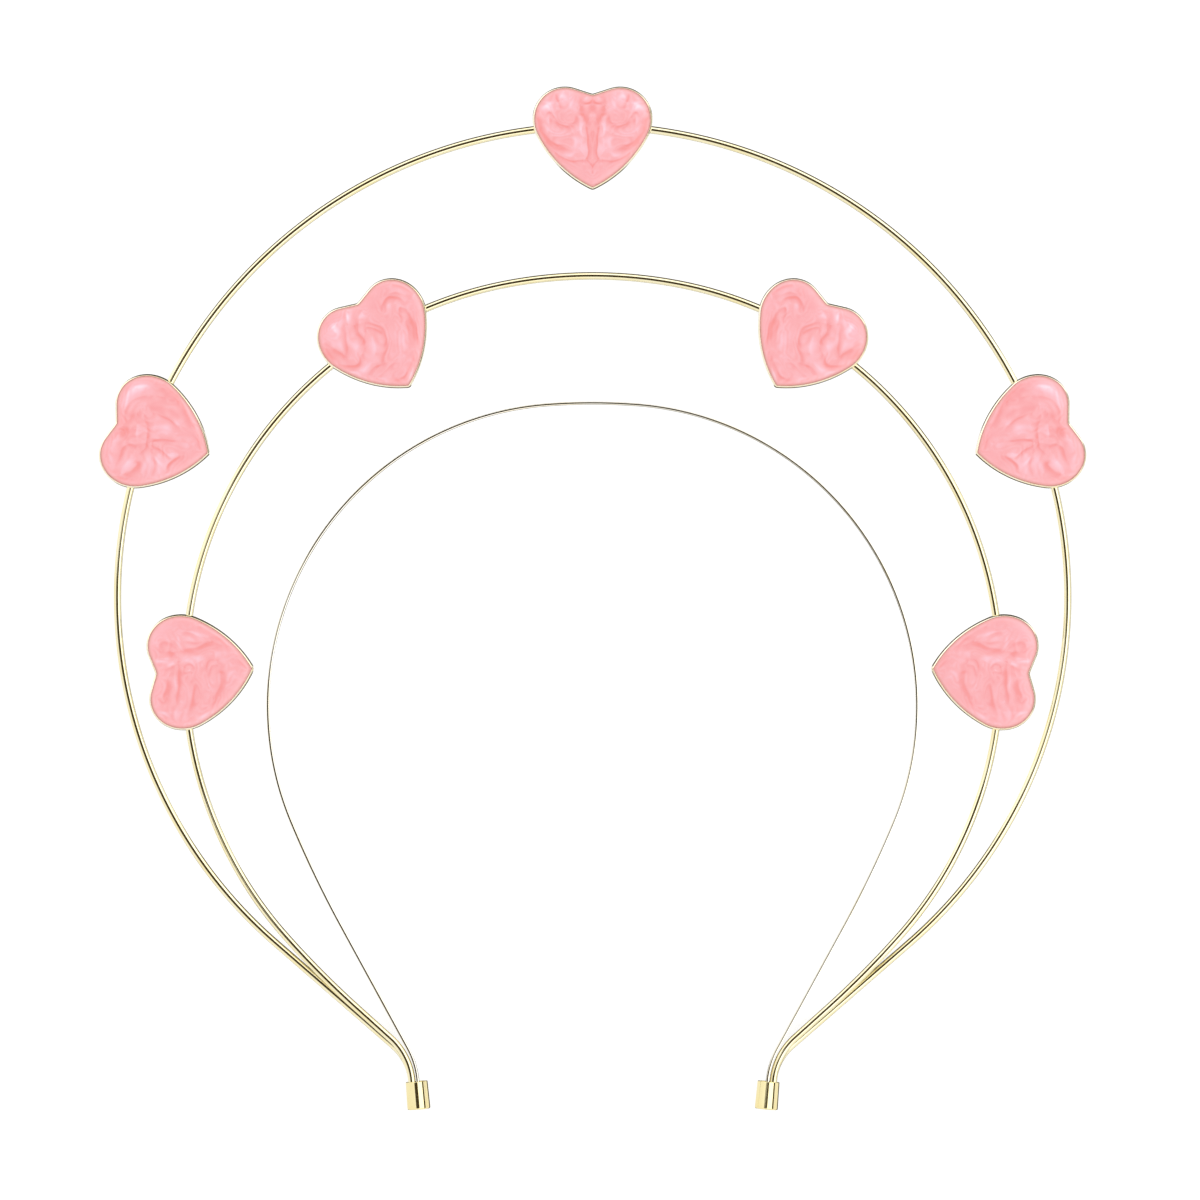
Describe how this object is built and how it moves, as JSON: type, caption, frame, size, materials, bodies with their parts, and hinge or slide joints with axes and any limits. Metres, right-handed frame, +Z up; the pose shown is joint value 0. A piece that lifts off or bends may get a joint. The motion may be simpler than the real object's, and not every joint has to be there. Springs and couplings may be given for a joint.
{
  "type": "heart headband",
  "caption": "Headband of a thin metal band and two polished wire arches that meet in end ferrules, the arches carrying gold-rimmed hearts of marbled pink enamel.",
  "frame": {"origin": "on the surface it lies on, under the middle of its bounding box", "axes": "+X across the headband, +Y from the ends towards the crown heart, +Z up from the backs of the hearts to their faces"},
  "size_m": [0.2132, 0.2208, 0.005],
  "materials": {
    "pale_gold": "polished pale gold plating",
    "pink_enamel": "glossy marbled pink enamel"
  },
  "bodies": {
    "root": {"head_band": "pale_gold", "inner_arch": "pale_gold", "outer_arch": "pale_gold", "end_ferrule_left": "pale_gold", "end_ferrule_right": "pale_gold", "setting_top": "pale_gold", "enamel_top": "pink_enamel", "setting_upper_left": "pale_gold", "enamel_upper_left": "pink_enamel", "setting_upper_right": "pale_gold", "enamel_upper_right": "pink_enamel", "setting_outer_left": "pale_gold", "enamel_outer_left": "pink_enamel", "setting_outer_right": "pale_gold", "enamel_outer_right": "pink_enamel", "setting_lower_left": "pale_gold", "enamel_lower_left": "pink_enamel", "setting_lower_right": "pale_gold", "enamel_lower_right": "pink_enamel"}
  },
  "joints": []
}
